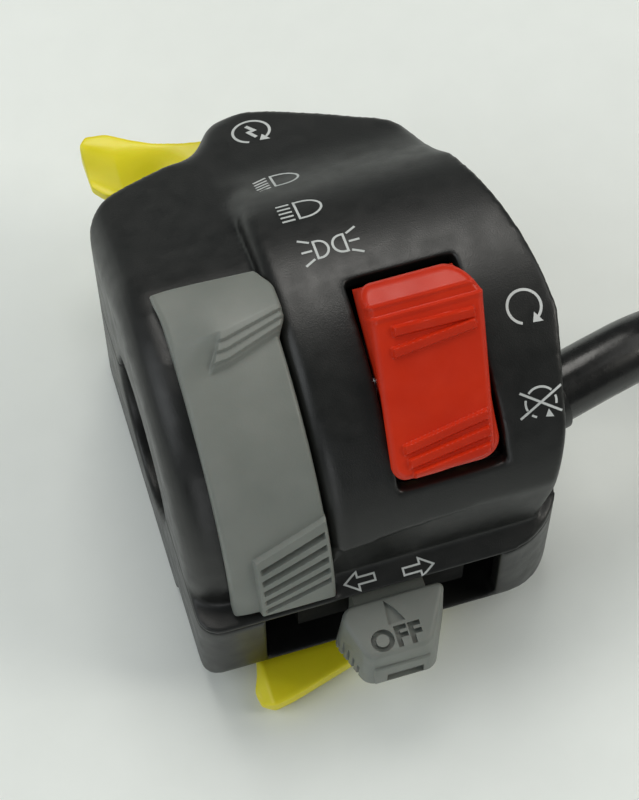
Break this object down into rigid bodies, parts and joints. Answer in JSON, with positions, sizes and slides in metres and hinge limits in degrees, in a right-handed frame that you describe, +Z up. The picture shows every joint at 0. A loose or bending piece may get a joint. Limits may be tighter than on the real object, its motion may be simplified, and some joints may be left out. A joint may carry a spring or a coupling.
{
  "type": "handlebar switch cluster",
  "caption": "Two-part black plastic clamp-on handlebar housing with a light slider, stop rocker, sliding turn-signal knob, starter and horn levers and a coiled loom with a connector.",
  "frame": {"origin": "on the axis of the handlebar clamp, in the housing's parting plane", "axes": "+X along the bar towards its middle, -Y towards the rider, +Z up out of the main panel's top"},
  "size_m": [0.1838, 0.0938, 0.052],
  "materials": {
    "black_plastic": "moulded satin black",
    "grey_plastic": "moulded satin grey",
    "red_plastic": "moulded semi-gloss red",
    "yellow_plastic": "moulded semi-gloss yellow",
    "brass": "stamped",
    "steel": "zinc plated",
    "board": "phenolic brown",
    "sleeve": "glossy black sleeve",
    "natural_nylon": "natural nylon"
  },
  "bodies": {
    "housing": {"upper_shell": "black_plastic", "lower_shell": "black_plastic", "clamp_screws": "steel", "light_base": "board", "light_contacts": "brass", "rocker_pin": "steel", "stop_base": "board", "stop_contacts": "brass", "signal_base": "board", "signal_contacts": "brass", "start_pin": "steel", "start_spring": "steel", "start_contact": "brass", "horn_pin": "steel", "horn_spring": "steel", "horn_contact": "brass", "gland": "black_plastic", "loom_lead": "sleeve", "loom_coil": "sleeve", "coil_tie": "black_plastic", "connector": "natural_nylon"},
    "light": {"light_slider": "grey_plastic", "light_carriage": "board", "light_wiper": "brass", "light_ball": "steel", "light_spring": "steel"},
    "stop": {"stop_rocker": "red_plastic", "stop_plunger": "steel", "stop_spring": "steel"},
    "signal": {"signal_knob": "grey_plastic", "signal_carriage": "black_plastic", "signal_screw": "steel", "signal_ball": "steel", "signal_spring": "steel"},
    "starter": {"start_lever": "yellow_plastic"},
    "horn": {"horn_lever": "yellow_plastic"}
  },
  "joints": [
    {"name": "light_slide", "type": "hinge", "parent": "housing", "child": "light", "pos_m": [0, 0, 0], "axis": [-1, 0, 0], "range_deg": [0, 18]},
    {"name": "stop_rock", "type": "hinge", "parent": "housing", "child": "stop", "pos_m": [0, -0.01154, 0.02104], "axis": [-1, 0, 0], "range_deg": [0, 16]},
    {"name": "signal_slide", "type": "slide", "parent": "housing", "child": "signal", "axis": [1, 0, 0], "range_m": [-0.0045, 0.0045]},
    {"name": "start_press", "type": "hinge", "parent": "housing", "child": "starter", "pos_m": [0.0035, 0.03019, 0.005], "axis": [0, 0, 1], "range_deg": [0, 5], "stiffness_Nm_per_rad": 0.05, "springref_deg": -17.19, "deforming": ["start_spring"]},
    {"name": "horn_press", "type": "hinge", "parent": "housing", "child": "horn", "pos_m": [0.006, -0.021, -0.0173], "axis": [0, 0, -1], "range_deg": [0, 5], "stiffness_Nm_per_rad": 0.05, "springref_deg": -17.19, "deforming": ["horn_spring"]}
  ]
}
